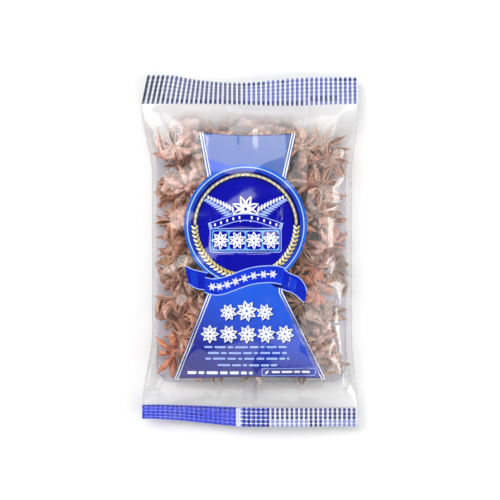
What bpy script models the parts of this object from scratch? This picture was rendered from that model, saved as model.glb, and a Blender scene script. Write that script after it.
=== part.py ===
"""Clear pillow bag filled with star anise, lying on its back with its printed front up.

X runs across the bag, Y from the bottom seal to the top seal, +Z is up. The bag is one closed
solid: a body that bulges over its contents and lies flat on its back, and a thin ribbed fin of
sealed film at each end. The mesh is a loft of loops that run round the bag, one after another.
"""
from math import cos, exp, pi, sin

import bmesh
import bpy

MM = 0.001

# Outline, seen from above. Each bend of an edge is a height, its place across and its half width.
BODY_LEFT = -58.9 * MM
BODY_RIGHT = 57.4 * MM
FLARE_LEFT_TOP = 6.3 * MM
FLARE_LEFT_BOTTOM = 5.8 * MM
FLARE_RIGHT_TOP = 4.0 * MM
FLARE_RIGHT_BOTTOM = 3.4 * MM
FLARE_LENGTH = 42 * MM
TOP_SEAL_Y = 85.6 * MM
BOTTOM_SEAL_Y = -90.7 * MM
TOP_FIN = 16.6 * MM
BOTTOM_FIN = 11.1 * MM
TOP_DIP = (3.6 * MM, -9 * MM, 30 * MM)
TOP_PEAK = (1.4 * MM, -52 * MM, 9 * MM)
TOP_SEAL_SAG = (1.2 * MM, 18 * MM, 26 * MM)
BOTTOM_SEAL_RISE = 1.8 * MM
BOTTOM_CORNER_RISE = 4.8 * MM

# Heights.
PACK_HEIGHT = 26 * MM
FOLD_HEIGHT = 6.5 * MM
FIN_THICKNESS = 1.1 * MM
RIB_HEIGHT = 0.22 * MM
FIN_WAVE = 1.6 * MM
FIN_WAVE_LENGTH = 96 * MM
FIN_WAVE_PHASE = 0.6
CORNER_LIFT = 2.6 * MM

# Fullness of the body. END_POWERS and SIDE_POWERS round its section along and across the bag.
END_RAMP = 52 * MM
END_FLAT = 26 * MM
END_POWERS = (2.2, 0.75)
SIDE_POWERS = (2.5, 0.62)
BACK_FLAT = 0.66
RELIEF_GROWTH = 1.6
LUMP_HEIGHT = 0.45 * MM
# Wave length, direction and phase of each wave of lumps.
LUMP_WAVES = ((31 * MM, 0.4, 0.2), (23 * MM, 1.9, 1.3), (27 * MM, 2.7, 4.1), (37 * MM, 3.6, 2.2))
PLEAT_HEIGHT = 1.1 * MM
PLEAT_STEP = 19 * MM
PLEAT_REACH = 9 * MM
PLEAT_DRIFT = 4.0
PLEAT_DRIFT_LENGTH = 30 * MM

# Mesh density. Columns and rows crowd towards the edges by these shares.
ACROSS = 32
BODY_ROWS = 44
COLUMN_CROWDING = 0.55
ROW_CROWDING = 0.6
RIB_PITCH = 2.36 * MM

FILM_COLOR = (0.80, 0.82, 0.86, 1.0)
FILM_ROUGHNESS = 0.18


def clear_scene():
    for ob in list(bpy.data.objects):
        bpy.data.objects.remove(ob, do_unlink=True)


def smooth(low, high, x):
    """0 below low, 1 above high, and a smooth rise between them."""
    t = min(max((x - low) / (high - low), 0.0), 1.0)
    return t * t * (3 - 2 * t)


def bend(shape, x):
    """A soft hump, given as its height, its place and its half width."""
    height, centre, spread = shape
    return height * exp(-(((x - centre) / spread) ** 2))


def top_edge(x):
    """The top fin's outer edge: it dips left of the middle and rises at the left corner."""
    return TOP_SEAL_Y + TOP_FIN - bend(TOP_DIP, x) + bend(TOP_PEAK, x)


def top_seal(x):
    return TOP_SEAL_Y - bend(TOP_SEAL_SAG, x)


def bottom_seal(x):
    return BOTTOM_SEAL_Y + BOTTOM_SEAL_RISE * smooth(10 * MM, -60 * MM, x)


def bottom_edge(x):
    """The bottom fin's outer edge, drawn in at the left corner, which curls up."""
    return BOTTOM_SEAL_Y - BOTTOM_FIN + BOTTOM_CORNER_RISE * smooth(0.0, -62 * MM, x)


def side_x(side, y):
    """The outline's left (side -1) or right (side 1) edge at y, flared towards both seals."""
    top = smooth(TOP_SEAL_Y - FLARE_LENGTH, TOP_SEAL_Y, y)
    bottom = smooth(BOTTOM_SEAL_Y + FLARE_LENGTH, BOTTOM_SEAL_Y, y)
    if side < 0:
        return BODY_LEFT - FLARE_LEFT_TOP * top - FLARE_LEFT_BOTTOM * bottom
    return BODY_RIGHT + FLARE_RIGHT_TOP * top + FLARE_RIGHT_BOTTOM * bottom


def end_fullness(inside):
    """How far the body has risen, 0 to 1, this far in from a seal."""
    t = min(max(inside / END_RAMP, 0.0), 1.0)
    steepness, roundness = END_POWERS
    return (1 - (1 - t) ** steepness) ** roundness


def side_fullness(share):
    """How far the body has risen, 0 to 1, at a share of the way from its middle to a side."""
    steepness, roundness = SIDE_POWERS
    return max(1 - abs(share) ** steepness, 0.0) ** roundness


def column_share(column):
    """Place of a column across the bag, from -1 at the left to 1 at the right."""
    even = 2 * column / ACROSS - 1
    return COLUMN_CROWDING * sin(even * pi / 2) + (1 - COLUMN_CROWDING) * even


def middle_height(x, outside):
    """Height of the fold line, and past a seal of the fin, which waves and lifts at its left corners."""
    out = smooth(0.0, TOP_FIN, outside)
    wave = FIN_WAVE * sin(2 * pi * x / FIN_WAVE_LENGTH + FIN_WAVE_PHASE)
    lift = CORNER_LIFT * smooth(-30 * MM, -64 * MM, x)
    return FOLD_HEIGHT + out * (wave + lift)


def relief(x, y, inside):
    """What the contents and the puckered film add to the front: soft lumps, and pleats near a seal."""
    lumps = 0.0
    for step, turn, phase in LUMP_WAVES:
        lumps += LUMP_HEIGHT * sin(2 * pi * (x * cos(turn) + y * sin(turn)) / step + phase)
    near = inside / PLEAT_REACH * exp(1 - inside / PLEAT_REACH)
    drift = PLEAT_DRIFT * sin(x / PLEAT_DRIFT_LENGTH)
    return lumps + PLEAT_HEIGHT * near * sin(2 * pi * x / PLEAT_STEP + drift)


def loop_points(zone, share, rib):
    """One loop round the bag: the front from left to right, then the back from right to left."""
    edges = {
        "bottom_fin": (bottom_edge, bottom_seal),
        "body": (bottom_seal, top_seal),
        "top_fin": (top_seal, top_edge),
    }
    low, high = edges[zone]
    nominal = low(0.0) + share * (high(0.0) - low(0.0))
    left, right = side_x(-1, nominal), side_x(1, nominal)
    centre, half = (left + right) / 2, (right - left) / 2
    crown = PACK_HEIGHT - 2 * LUMP_HEIGHT - FOLD_HEIGHT - FIN_THICKNESS / 2
    front, back = [], []
    for column in range(ACROSS + 1):
        across = column_share(column)
        x = centre + across * half
        y = low(x) + share * (high(x) - low(x))
        inside = min(top_seal(x) - y, y - bottom_seal(x))
        middle = middle_height(x, max(-inside, 0.0)) + rib
        rise = end_fullness(inside) * side_fullness(across)
        bulge = crown * rise + relief(x, y, max(inside, 0.0)) * min(rise * RELIEF_GROWTH, 1.0)
        front.append((x, y, middle + FIN_THICKNESS / 2 + bulge))
        turn = min(max((abs(across) - BACK_FLAT) / (1 - BACK_FLAT), 0.0), 1.0)
        drop = smooth(0.0, END_FLAT, inside) * (1 - turn * turn) ** 0.5
        back.append((x, y, (middle - FIN_THICKNESS / 2) * (1 - drop)))
    return front + back[::-1]


def all_loops():
    loops = []
    bottom_rows = round(BOTTOM_FIN / RIB_PITCH * 2)
    top_rows = round(TOP_FIN / RIB_PITCH * 2)
    for row in range(bottom_rows):
        rib = RIB_HEIGHT if row % 2 else -RIB_HEIGHT
        loops.append(loop_points("bottom_fin", row / bottom_rows, rib))
    for row in range(BODY_ROWS + 1):
        crowded = 0.5 - 0.5 * cos(pi * row / BODY_ROWS)
        share = ROW_CROWDING * crowded + (1 - ROW_CROWDING) * row / BODY_ROWS
        loops.append(loop_points("body", share, 0.0))
    for row in range(1, top_rows + 1):
        rib = RIB_HEIGHT if row % 2 else -RIB_HEIGHT
        loops.append(loop_points("top_fin", row / top_rows, rib))
    return loops


def centred(loops):
    """The loops moved so that the outline's box is centred on the origin and the back lies at z = 0."""
    points = [p for loop in loops for p in loop]
    lows = [min(p[axis] for p in points) for axis in range(3)]
    highs = [max(p[axis] for p in points) for axis in range(3)]
    dx, dy = (lows[0] + highs[0]) / 2, (lows[1] + highs[1]) / 2
    return [[(x - dx, y - dy, z - lows[2]) for x, y, z in loop] for loop in loops]


def loft(loops):
    """A closed mesh through the loops, with a cap of quads across each end fin's edge."""
    bm = bmesh.new()
    rows = [[bm.verts.new(p) for p in loop] for loop in loops]
    count = len(rows[0])
    for a, b in zip(rows, rows[1:]):
        for i in range(count):
            j = (i + 1) % count
            bm.faces.new((a[i], a[j], b[j], b[i]))
    first, last = rows[0], rows[-1]
    for i in range(ACROSS):
        far = count - 1 - i
        bm.faces.new((first[i], first[far], first[far - 1], first[i + 1]))
        bm.faces.new((last[i], last[i + 1], last[far - 1], last[far]))
    bmesh.ops.recalc_face_normals(bm, faces=bm.faces)
    mesh = bpy.data.meshes.new("bag")
    bm.to_mesh(mesh)
    bm.free()
    mesh.shade_smooth()
    return mesh


def film_material():
    material = bpy.data.materials.new("film")
    material.use_nodes = True
    shader = material.node_tree.nodes["Principled BSDF"]
    shader.inputs["Base Color"].default_value = FILM_COLOR
    shader.inputs["Roughness"].default_value = FILM_ROUGHNESS
    shader.inputs["Metallic"].default_value = 0.0
    material.diffuse_color = FILM_COLOR
    return material


def main():
    clear_scene()
    mesh = loft(centred(all_loops()))
    mesh.materials.append(film_material())
    bag = bpy.data.objects.new("bag", mesh)
    bpy.context.scene.collection.objects.link(bag)


main()
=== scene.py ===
"""Clear pillow bag of star anise lying on its back, seen from above.

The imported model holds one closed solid, the filled bag. Its outline and its front and back
surfaces are read from that solid. Here it is replaced by what it stands for: a film bag draped
over the fruits, a varnished label printed on it, checked prints inside the end seals, a pale back
panel, and the star anise itself with its loose carpels, seeds, stalks and crumbs.
"""
from math import cos, pi, radians, sin

import bpy
import numpy as np
from mathutils import Matrix, Vector
from mathutils.bvhtree import BVHTree
from mathutils.geometry import delaunay_2d_cdt


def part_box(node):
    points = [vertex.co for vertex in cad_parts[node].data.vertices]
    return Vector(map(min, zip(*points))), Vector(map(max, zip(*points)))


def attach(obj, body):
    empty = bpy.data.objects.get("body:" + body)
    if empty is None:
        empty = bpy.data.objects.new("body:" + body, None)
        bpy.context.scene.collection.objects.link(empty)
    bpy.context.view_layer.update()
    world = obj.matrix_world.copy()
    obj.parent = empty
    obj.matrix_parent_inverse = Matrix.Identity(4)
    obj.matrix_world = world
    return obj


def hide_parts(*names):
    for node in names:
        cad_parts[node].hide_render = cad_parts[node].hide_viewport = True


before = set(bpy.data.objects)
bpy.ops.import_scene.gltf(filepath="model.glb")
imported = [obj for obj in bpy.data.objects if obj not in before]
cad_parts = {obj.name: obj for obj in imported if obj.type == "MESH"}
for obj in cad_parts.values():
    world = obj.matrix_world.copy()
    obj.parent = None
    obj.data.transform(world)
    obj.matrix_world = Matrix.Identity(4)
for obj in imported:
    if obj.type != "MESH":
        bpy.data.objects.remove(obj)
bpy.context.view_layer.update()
MM = 0.001
BODY = "root"

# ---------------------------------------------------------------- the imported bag

BAG_LOW, BAG_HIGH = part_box("bag")
TOP_FIN = 16.6 * MM
BOTTOM_FIN = 11.1 * MM
FIN_GAP = 0.5 * MM
FIN_LEVEL = 7 * MM
SEAL_DIP = 0.2 * MM
SEAL_SAG = 1.2 * MM
SAG_MIDDLE = 20 * MM
SAG_REACH = 26 * MM
SEAL_RISE = 1.8 * MM


def cad_points():
    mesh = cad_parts["bag"].data
    found = np.empty(len(mesh.vertices) * 3, np.float32)
    mesh.vertices.foreach_get("co", found)
    return found.reshape(-1, 3).astype(float)


def cad_tree():
    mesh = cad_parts["bag"].data
    points = [v.co.copy() for v in mesh.vertices]
    return BVHTree.FromPolygons(points, [tuple(p.vertices) for p in mesh.polygons])


CAD_TREE = cad_tree()


def outermost(points, along, across, sign, step):
    """The outline's points on one side: the furthest point of each strip along an axis."""
    strips = np.floor(points[:, along] / step)
    rows = []
    for strip in np.unique(strips):
        mine = points[strips == strip]
        best = mine[np.argmax(sign * mine[:, across])]
        rows.append((best[along], best[across]))
    rows.sort()
    return np.array(rows)


EDGE_REACH = 6 * MM
SIDE_REACH = 9 * MM
CORNER_SKIP = 4 * MM
SIDE_STRIP = 6 * MM
END_STRIP = 5 * MM


def outline():
    points = cad_points()
    x, y = points[:, 0], points[:, 1]
    beside = (y > BAG_LOW.y + EDGE_REACH) & (y < BAG_HIGH.y - EDGE_REACH)
    between = (x > BAG_LOW.x + CORNER_SKIP) & (x < BAG_HIGH.x - CORNER_SKIP)
    left, right = x < BAG_LOW.x + SIDE_REACH, x > BAG_HIGH.x - SIDE_REACH
    bottom, top = y < BAG_LOW.y + EDGE_REACH, y > BAG_HIGH.y - EDGE_REACH
    return {
        "left": outermost(points[beside & left], 1, 0, -1, SIDE_STRIP),
        "right": outermost(points[beside & right], 1, 0, 1, SIDE_STRIP),
        "bottom": outermost(points[between & bottom], 0, 1, -1, END_STRIP),
        "top": outermost(points[between & top], 0, 1, 1, END_STRIP),
    }


OUTLINE = outline()


def edge(name, at):
    rows = OUTLINE[name]
    return np.interp(at, rows[:, 0], rows[:, 1])


def top_seal(x):
    """The line where the body starts below the top fin: a level line with a slight sag."""
    sag = SEAL_SAG * np.exp(-(((x - SAG_MIDDLE) / SAG_REACH) ** 2))
    return BAG_HIGH.y - TOP_FIN - SEAL_DIP - sag


def bottom_seal(x):
    """The line where the body starts above the bottom fin, higher at its left end."""
    return BAG_LOW.y + BOTTOM_FIN + SEAL_RISE * smooth(12 * MM, -58 * MM, x)


def smooth(low, high, x):
    t = np.clip((x - low) / (high - low), 0, 1)
    return t * t * (3 - 2 * t)


def cad_height(x, y, front):
    """Height of the solid's front or back surface above a point, or of its nearest edge."""
    start = Vector((x, y, 0.2 if front else -0.2))
    hit = CAD_TREE.ray_cast(start, Vector((0, 0, -1 if front else 1)))[0]
    if hit is None:
        hit = CAD_TREE.find_nearest(Vector((x, y, FIN_LEVEL)))[0]
    return hit.z


# ---------------------------------------------------------------- small mesh helpers


class Build:
    """Collects vertices and faces, with a material number for each face."""

    def __init__(self):
        self.points, self.faces, self.slots, self.count = [], [], [], 0

    def add(self, points, faces, slots):
        self.points.append(np.asarray(points, float))
        self.faces += [[int(i) + self.count for i in face] for face in faces]
        self.slots += [int(s) for s in slots]
        self.count += len(points)

    def finish(self, name, materials):
        mesh = bpy.data.meshes.new(name)
        mesh.from_pydata(np.concatenate(self.points).tolist(), [], self.faces)
        for material in materials:
            mesh.materials.append(material)
        mesh.polygons.foreach_set("material_index", np.array(self.slots, np.int32))
        mesh.polygons.foreach_set("use_smooth", np.ones(len(self.faces), bool))
        mesh.update()
        piece = bpy.data.objects.new(name, mesh)
        bpy.context.scene.collection.objects.link(piece)
        return piece


def grid_faces(rows, columns, flip=False):
    i = np.arange(rows - 1)[:, None] * columns + np.arange(columns - 1)[None, :]
    quads = np.stack([i, i + 1, i + columns + 1, i + columns], -1).reshape(-1, 4)
    return quads[:, ::-1] if flip else quads


def tube_faces(rings, around):
    """Quads of a tube whose rings follow one another, open at both ends."""
    i = np.arange(rings - 1)[:, None] * around
    j = np.arange(around)[None, :]
    k = (j + 1) % around
    return np.stack([i + j, i + k, i + around + k, i + around + j], -1).reshape(-1, 4)


# ---------------------------------------------------------------- the film's own grid

ACROSS = 140
FIN_STEP = 0.4 * MM
BODY_STEP = 0.86 * MM
SEAL_LOW = BAG_LOW.y + BOTTOM_FIN
SEAL_HIGH = BAG_HIGH.y - TOP_FIN
V_LEVELS = np.concatenate([
    np.linspace(0, 1, round(BOTTOM_FIN / FIN_STEP), endpoint=False),
    np.linspace(1, 2, round((SEAL_HIGH - SEAL_LOW) / BODY_STEP), endpoint=False),
    np.linspace(2, 3, round(TOP_FIN / FIN_STEP) + 1),
])
U_LEVELS = np.linspace(-1, 1, ACROSS + 1)
U_SHARES = 0.8 * U_LEVELS + 0.2 * np.sin(U_LEVELS * pi / 2)


def y_at(x, v):
    """Place along the bag: v is 0 at the bottom edge, 1 and 2 at the seals and 3 at the top edge."""
    knots = [edge("bottom", x), bottom_seal(x), top_seal(x), edge("top", x)]
    y = knots[0] + (knots[1] - knots[0]) * np.clip(v, 0, 1)
    y = y + (knots[2] - knots[1]) * np.clip(v - 1, 0, 1)
    return y + (knots[3] - knots[2]) * np.clip(v - 2, 0, 1)


def v_at(x, y):
    """The inverse of y_at."""
    knots = [edge("bottom", x), bottom_seal(x), top_seal(x), edge("top", x)]
    v = np.clip((y - knots[0]) / (knots[1] - knots[0]), 0, 1)
    v = v + np.clip((y - knots[1]) / (knots[2] - knots[1]), 0, 1)
    return v + np.clip((y - knots[2]) / (knots[3] - knots[2]), 0, 1)


def x_at(share, y):
    """Place across the bag: share is -1 at the left edge and 1 at the right edge."""
    left, right = edge("left", y), edge("right", y)
    return (left + right) / 2 + share * (right - left) / 2


def share_at(x, y):
    left, right = edge("left", y), edge("right", y)
    return (2 * x - left - right) / (right - left)


CORNER_LEAN = 3.8 * MM
LEAN_START = -6 * MM
LEAN_END = -62 * MM


def plan(share, v):
    """Place seen from above of a point on the film; the top fin's left corner leans inwards."""
    y = y_at(np.zeros_like(share), v)
    for _ in range(4):
        x = x_at(share, y)
        y = y_at(x, v)
    lean = CORNER_LEAN * smooth(LEAN_START, LEAN_END, x) * np.clip(v - 2, 0, 1)
    return x + lean, y


FILM_X, FILM_Y = plan(*np.meshgrid(U_SHARES, V_LEVELS))


def heights_of(front):
    flat = [cad_height(x, y, front) for x, y in zip(FILM_X.ravel(), FILM_Y.ravel())]
    return np.array(flat).reshape(FILM_X.shape)


def bilinear(table, column, row):
    """The table's value at a place between its cells."""
    column = np.clip(column, 0, table.shape[1] - 1.001)
    row = np.clip(row, 0, table.shape[0] - 1.001)
    c, r = column.astype(int), row.astype(int)
    fc, fr = column - c, row - r
    low = table[r, c] * (1 - fc) + table[r, c + 1] * fc
    high = table[r + 1, c] * (1 - fc) + table[r + 1, c + 1] * fc
    return low * (1 - fr) + high * fr


def grid_place(x, y):
    """Column and row of the film's grid at a point seen from above."""
    column = np.interp(share_at(x, y), U_SHARES, np.arange(ACROSS + 1))
    row = np.interp(v_at(x, y), V_LEVELS, np.arange(len(V_LEVELS)))
    return column, row


def on_film(table, x, y):
    column, row = grid_place(np.asarray(x, float), np.asarray(y, float))
    return bilinear(table, column, row)


CAD_FRONT = heights_of(True)
CAD_BACK = heights_of(False)
CAD_MIDDLE = (CAD_FRONT + CAD_BACK) / 2
IN_FIN = ((V_LEVELS < 1) | (V_LEVELS >= 2))[:, None] & np.ones_like(FILM_X, bool)

# ---------------------------------------------------------------- star anise

STATIONS = 15
OUTER = 11
INNER = 7
WALL, LINING, SEED, STALK = 0, 1, 2, 3

# A carpel's depth, width and the width of its slit, as shares of their most, against its length.
DEPTH = ((0, 0.5), (0.15, 0.72), (0.35, 0.98), (0.6, 0.98), (0.8, 0.6), (0.93, 0.22), (1, 0.05))
WIDTH = ((0, 0.32), (0.15, 0.55), (0.35, 0.92), (0.6, 1.0), (0.8, 0.62), (0.93, 0.22), (1, 0.05))
GAPE = ((0, 0.05), (0.12, 0.15), (0.35, 0.85), (0.6, 1.0), (0.78, 0.6), (0.9, 0.1), (1, 0.0))
DEEPEST = (6.4 * MM, 7.8 * MM)
HALF_WIDTH = (2.2 * MM, 2.9 * MM)
USUAL_LENGTH = 14 * MM
THICKNESS = 0.55 * MM
BEAK = (1.0 * MM, 3.4 * MM)
BACK_SAG = 0.9 * MM
BEND = 1.4 * MM
ROUGHNESS = 0.16 * MM
LIP_DROP = 0.12 * MM
ROOT = 1.2 * MM
SHEAR = 0.25 * MM


def along(profile, t):
    """A profile of (place, value) pairs, smoothed and read at places t from 0 to 1."""
    fine = np.linspace(0, 1, 81)
    line = np.interp(fine, *np.array(profile).T)
    line = np.convolve(np.pad(line, 5, "edge"), np.ones(11) / 11, "valid")
    return np.interp(t, fine, line)


def wrinkles(t, a, phase):
    """Furrows along and across a carpel's outer wall, about -1 to 1."""
    total = 0.5 * np.sin(7 * a + 3 * np.sin(5 * t + phase[0]) + phase[1])
    total = total + 0.35 * np.sin(31 * t + 4 * a + phase[2])
    return total + 0.3 * np.sin(17 * t - 9 * a + phase[3])


def carpel(rng, length, gape):
    """One boat-shaped split carpel pointing along +X, its slit up. Returns points, faces, slots."""
    t = np.linspace(0, 1, STATIONS)[:, None] ** 0.92
    depth = along(DEPTH, t) * rng.uniform(*DEEPEST) * (length / USUAL_LENGTH) ** 0.5
    width = along(WIDTH, t) * rng.uniform(*HALF_WIDTH)
    gap = np.minimum(along(GAPE, t) * gape, width * 0.8)
    wall = np.minimum(THICKNESS, np.minimum(depth, width) * 0.3)
    top = -BACK_SAG * np.sin(pi * t) + rng.uniform(*BEAK) * t**4
    bend = rng.uniform(-BEND, BEND) * t**2
    a = np.linspace(0, pi, OUTER)[None, :]
    b = np.linspace(pi, 0, INNER)[None, :]
    phase = rng.uniform(0, 6.28, 4)
    rough = ROUGHNESS * wrinkles(t, a, phase) * np.sin(a) ** 0.5 * np.minimum(1, depth / (3 * MM))
    lip = gap + wall
    bulge = lip + np.maximum(width - lip, 0) * np.sin(a) ** 0.7
    y_out = -np.cos(a) * (bulge + rough)
    z_out = top - (depth + rough) * np.sin(a) ** 0.85
    inside = gap + np.maximum(np.maximum(width - wall, 0.1 * MM) - gap, 0) * np.sin(b) ** 0.7
    y_in = -np.cos(b) * inside
    z_in = top - LIP_DROP - np.maximum(depth - wall, 0.02 * MM) * np.sin(b) ** 0.85
    around = OUTER + INNER
    y = np.concatenate([y_out, y_in], 1) + bend
    z = np.concatenate([z_out, z_in], 1)
    x = np.repeat(ROOT + t * length, around, 1) + SHEAR * np.sin(3 * z / MM + phase[0])
    faces = tube_faces(STATIONS, around).tolist()
    slots = np.where(np.arange(around) < OUTER - 1, WALL, LINING).tolist() * (STATIONS - 1)
    tip = (STATIONS - 1) * around
    faces += [list(range(around))[::-1], list(range(tip, tip + around))]
    return np.stack([x, y, z], -1).reshape(-1, 3), faces, slots + [WALL, WALL]


def ellipsoid(size, around=12, rings=8):
    """A closed ellipsoid with the given half sizes, as points and quads with triangles at its ends."""
    theta = np.linspace(0, pi, rings + 1)[1:-1, None]
    phi = np.arange(around)[None, :] * 2 * pi / around
    x = np.cos(theta) * size[0] * np.ones_like(phi)
    y = np.sin(theta) * np.cos(phi) * size[1]
    z = np.sin(theta) * np.sin(phi) * size[2]
    points = np.stack([x, y, z], -1).reshape(-1, 3)
    points = np.concatenate([points, [[size[0], 0, 0], [-size[0], 0, 0]]])
    faces = tube_faces(rings - 1, around).tolist()
    first, last = len(points) - 2, len(points) - 1
    for i in range(around):
        j = (i + 1) % around
        faces.append([first, j, i])
        faces.append([last, (rings - 2) * around + i, (rings - 2) * around + j])
    return points, faces


def tube(path, radii, around=8):
    """A closed tube along a path."""
    path = np.asarray(path, float)
    steps = np.gradient(path, axis=0)
    steps /= np.linalg.norm(steps, axis=1)[:, None]
    side = np.cross(steps, [0.31, 0.22, 0.93])
    side /= np.linalg.norm(side, axis=1)[:, None]
    other = np.cross(steps, side)
    turn = np.arange(around) * 2 * pi / around
    ring = side[:, None] * np.cos(turn)[:, None] + other[:, None] * np.sin(turn)[:, None]
    points = (path[:, None] + ring * np.asarray(radii)[:, None, None]).reshape(-1, 3)
    faces = tube_faces(len(path), around).tolist()
    faces.append(list(range(around))[::-1])
    faces.append([(len(path) - 1) * around + i for i in range(around)])
    return points, faces


def turn_z(angle):
    return np.array(Matrix.Rotation(angle, 3, "Z"))


def turn_about(axis, angle):
    return np.array(Matrix.Rotation(angle, 3, Vector(axis)))


SEED_SIZE = (2.9, 0.95, 2.0)
SEED_SLACK = 0.5
SEED_DROP = 2.6 * MM


def seed_in(rng, length, gape):
    """A polished seed lying in an open carpel."""
    long, wide, deep = SEED_SIZE
    size = np.array([long, wide * gape / MM + SEED_SLACK, deep]) * MM
    points, faces = ellipsoid(size)
    points[:, 2] *= 1 + 0.15 * points[:, 0] / size[0]
    shift = np.array([ROOT + length * 0.53, 0, -SEED_DROP])
    return points @ turn_about((0, 1, 0), rng.uniform(-0.3, 0.3)).T + shift, faces


CARPEL_COUNTS = [7, 8, 8, 8, 9]
CARPEL_LENGTH = (11.4 * MM, 14.2 * MM)
STUNTED_SHARE = 0.12
WIDEST_GAPE = 2.0 * MM
SEED_GAPE = 0.75 * MM
COLUMN_HEIGHTS = (-6.4, -5.4, -3.6, -1.8, -0.9)
COLUMN_RADII = (0.9, 1.9, 2.3, 1.8, 0.5)


def stem_path(rng, steps):
    """A stalk bending away below the fruit."""
    reach = rng.uniform(9, 20)
    way = rng.uniform(0, 2 * pi)
    out = reach * 0.5 * steps**2
    drop = -6 - reach * (steps - 0.35 * steps**2)
    return np.column_stack([cos(way) * out, sin(way) * out, drop]) * MM


def fruit(rng, size, openness=0.6, stalk=False):
    """One whole fruit: carpels round a short column, slits up. Returns points, faces, slots."""
    points, faces, slots, count = [], [], [], 0

    def take(new_points, new_faces, new_slots):
        nonlocal count
        points.append(new_points)
        faces.extend([[i + count for i in f] for f in new_faces])
        slots.extend(new_slots)
        count += len(new_points)

    number = int(rng.choice(CARPEL_COUNTS))
    for k in range(number):
        length = rng.uniform(*CARPEL_LENGTH)
        if rng.random() < STUNTED_SHARE:
            length *= rng.uniform(0.55, 0.75)
        gape = rng.uniform(0.1, 1.0) ** (1 / max(openness, 0.05)) * WIDEST_GAPE
        body, quads, marks = carpel(rng, length, gape)
        dip = turn_about((0, 1, 0), rng.uniform(-0.28, 0.12))
        roll = turn_about((1, 0, 0), rng.uniform(-0.25, 0.25))
        turn = turn_z(2 * pi * (k + rng.uniform(-0.12, 0.12)) / number) @ dip @ roll
        take(body @ turn.T, quads, marks)
        if gape > SEED_GAPE and rng.random() < 0.8:
            kernel, quads = seed_in(rng, length, gape)
            take(kernel @ turn.T, quads, [SEED] * len(quads))
    column = np.array([(0, 0, z) for z in COLUMN_HEIGHTS]) * MM
    core, quads = tube(column, np.array(COLUMN_RADII) * MM, 10)
    take(core, quads, [WALL] * len(quads))
    if stalk:
        steps = np.linspace(0, 1, 9)
        stem, quads = tube(stem_path(rng, steps), (1.0 - 0.35 * steps) * MM)
        take(stem, quads, [STALK] * len(quads))
    return np.concatenate(points) * size, faces, slots


RED, BROWN, ORANGE, PINK, CORAL = range(5)

# Fruits seen under the front film, listed: x and y in mm, turn, lean and its direction in degrees
# (a lean over 90 shows the underside), size, how far the carpels are split, and the tone.
FRONT = (
    (42.6, 60.5, 25, 12, 60, 1.08, 0.7, PINK),
    (44.8, 52.0, 0, 30, 250, 0.9, 0.8, ORANGE),
    (36.9, -22.1, 38, 168, 200, 1.04, 0.4, CORAL),
    (47.5, 31.0, 40, 40, 20, 1.0, 0.7, BROWN),
    (45.0, 4.0, 15, 155, 90, 1.05, 0.5, PINK),
    (48.5, -42.0, 5, 30, 300, 1.05, 0.7, BROWN),
    (39.0, -59.0, 33, 150, 10, 0.95, 0.5, RED),
    (33.5, 38.0, 3, 160, 200, 0.9, 0.5, RED),
    (34.5, 17.0, 18, 60, 320, 0.95, 0.6, BROWN),
    (49.5, -12.0, 28, 70, 180, 1.0, 0.6, BROWN),
    (50.5, 17.0, 10, 25, 10, 0.95, 0.6, ORANGE),
    (50.0, -62.0, 10, 40, 40, 0.9, 0.7, BROWN),
    (-41.0, 47.5, 20, 30, 250, 1.05, 0.8, BROWN),
    (-34.0, 57.0, 8, 145, 40, 1.0, 0.5, RED),
    (-50.0, 31.0, 33, 160, 140, 1.08, 0.5, ORANGE),
    (-36.5, 33.5, 12, 55, 30, 0.95, 0.8, RED),
    (-49.5, 9.0, 25, 25, 190, 1.08, 0.6, ORANGE),
    (-38.0, 17.5, 30, 150, 300, 0.95, 0.5, ORANGE),
    (-47.0, -11.0, 10, 60, 70, 1.05, 0.7, RED),
    (-36.5, -2.0, 5, 60, 150, 0.9, 0.7, BROWN),
    (-39.5, -17.0, 18, 150, 250, 1.0, 0.4, RED),
    (-35.0, -31.0, 22, 35, 270, 1.0, 0.9, BROWN),
    (-47.5, -39.0, 0, 35, 250, 1.05, 0.8, ORANGE),
    (-40.0, -50.0, 38, 20, 120, 1.0, 0.8, ORANGE),
    (-51.0, -60.0, 15, 138, 190, 1.1, 0.5, CORAL),
    (-36.0, 69.5, 15, 150, 10, 0.95, 0.5, PINK),
    (-20.0, 70.0, 25, 20, 90, 0.95, 0.6, PINK),
    (6.0, 71.0, 5, 150, 200, 0.95, 0.5, PINK),
    (24.0, 71.5, 30, 40, 60, 0.95, 0.6, PINK),
)
SEED_OF_DRAWS = 71


def lean_matrix(turn, lean, way):
    """Turn about the fruit's own axis, then lean over towards a direction."""
    way = radians(way)
    return turn_about((-sin(way), cos(way), 0), radians(lean)) @ turn_z(radians(turn))


def film_normal(table, x, y):
    """The film's normal at a point, averaged over its near surroundings."""
    step = 6 * MM
    dx = (on_film(table, x + step, y) - on_film(table, x - step, y)) / (2 * step)
    dy = (on_film(table, x, y + step) - on_film(table, x, y - step)) / (2 * step)
    return Vector((-float(dx), -float(dy), 1)).normalized()


def tangent_turn(normal):
    return np.array(Vector((0, 0, 1)).rotation_difference(normal).to_matrix())


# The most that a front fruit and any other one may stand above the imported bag's front.
FRONT_POKE = 1.0 * MM
DEEP_POKE = -0.6 * MM
# How far above that front each layer is placed, before it is squeezed.
FRONT_RISE = 0.4 * MM
CARPEL_RISE = 0.9 * MM
SECOND_DEPTH = (-8 * MM, -5 * MM)
CLEARANCE = 0.5 * MM
SIDE_MARGIN = 1.5 * MM
TOP_MARGIN = 5 * MM
BOTTOM_MARGIN = 13 * MM
LABEL_MIDDLE = -2 * MM
DEEP_SIZE = (0.9, 1.05)
# The rows of the generated layers: their ends, their margins at the seals and their unevenness.
ROW_LEFT, ROW_RIGHT = -46 * MM, 49 * MM
ROWS_BELOW, ROWS_ABOVE = 15 * MM, 14 * MM
JITTER = 3 * MM
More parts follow.
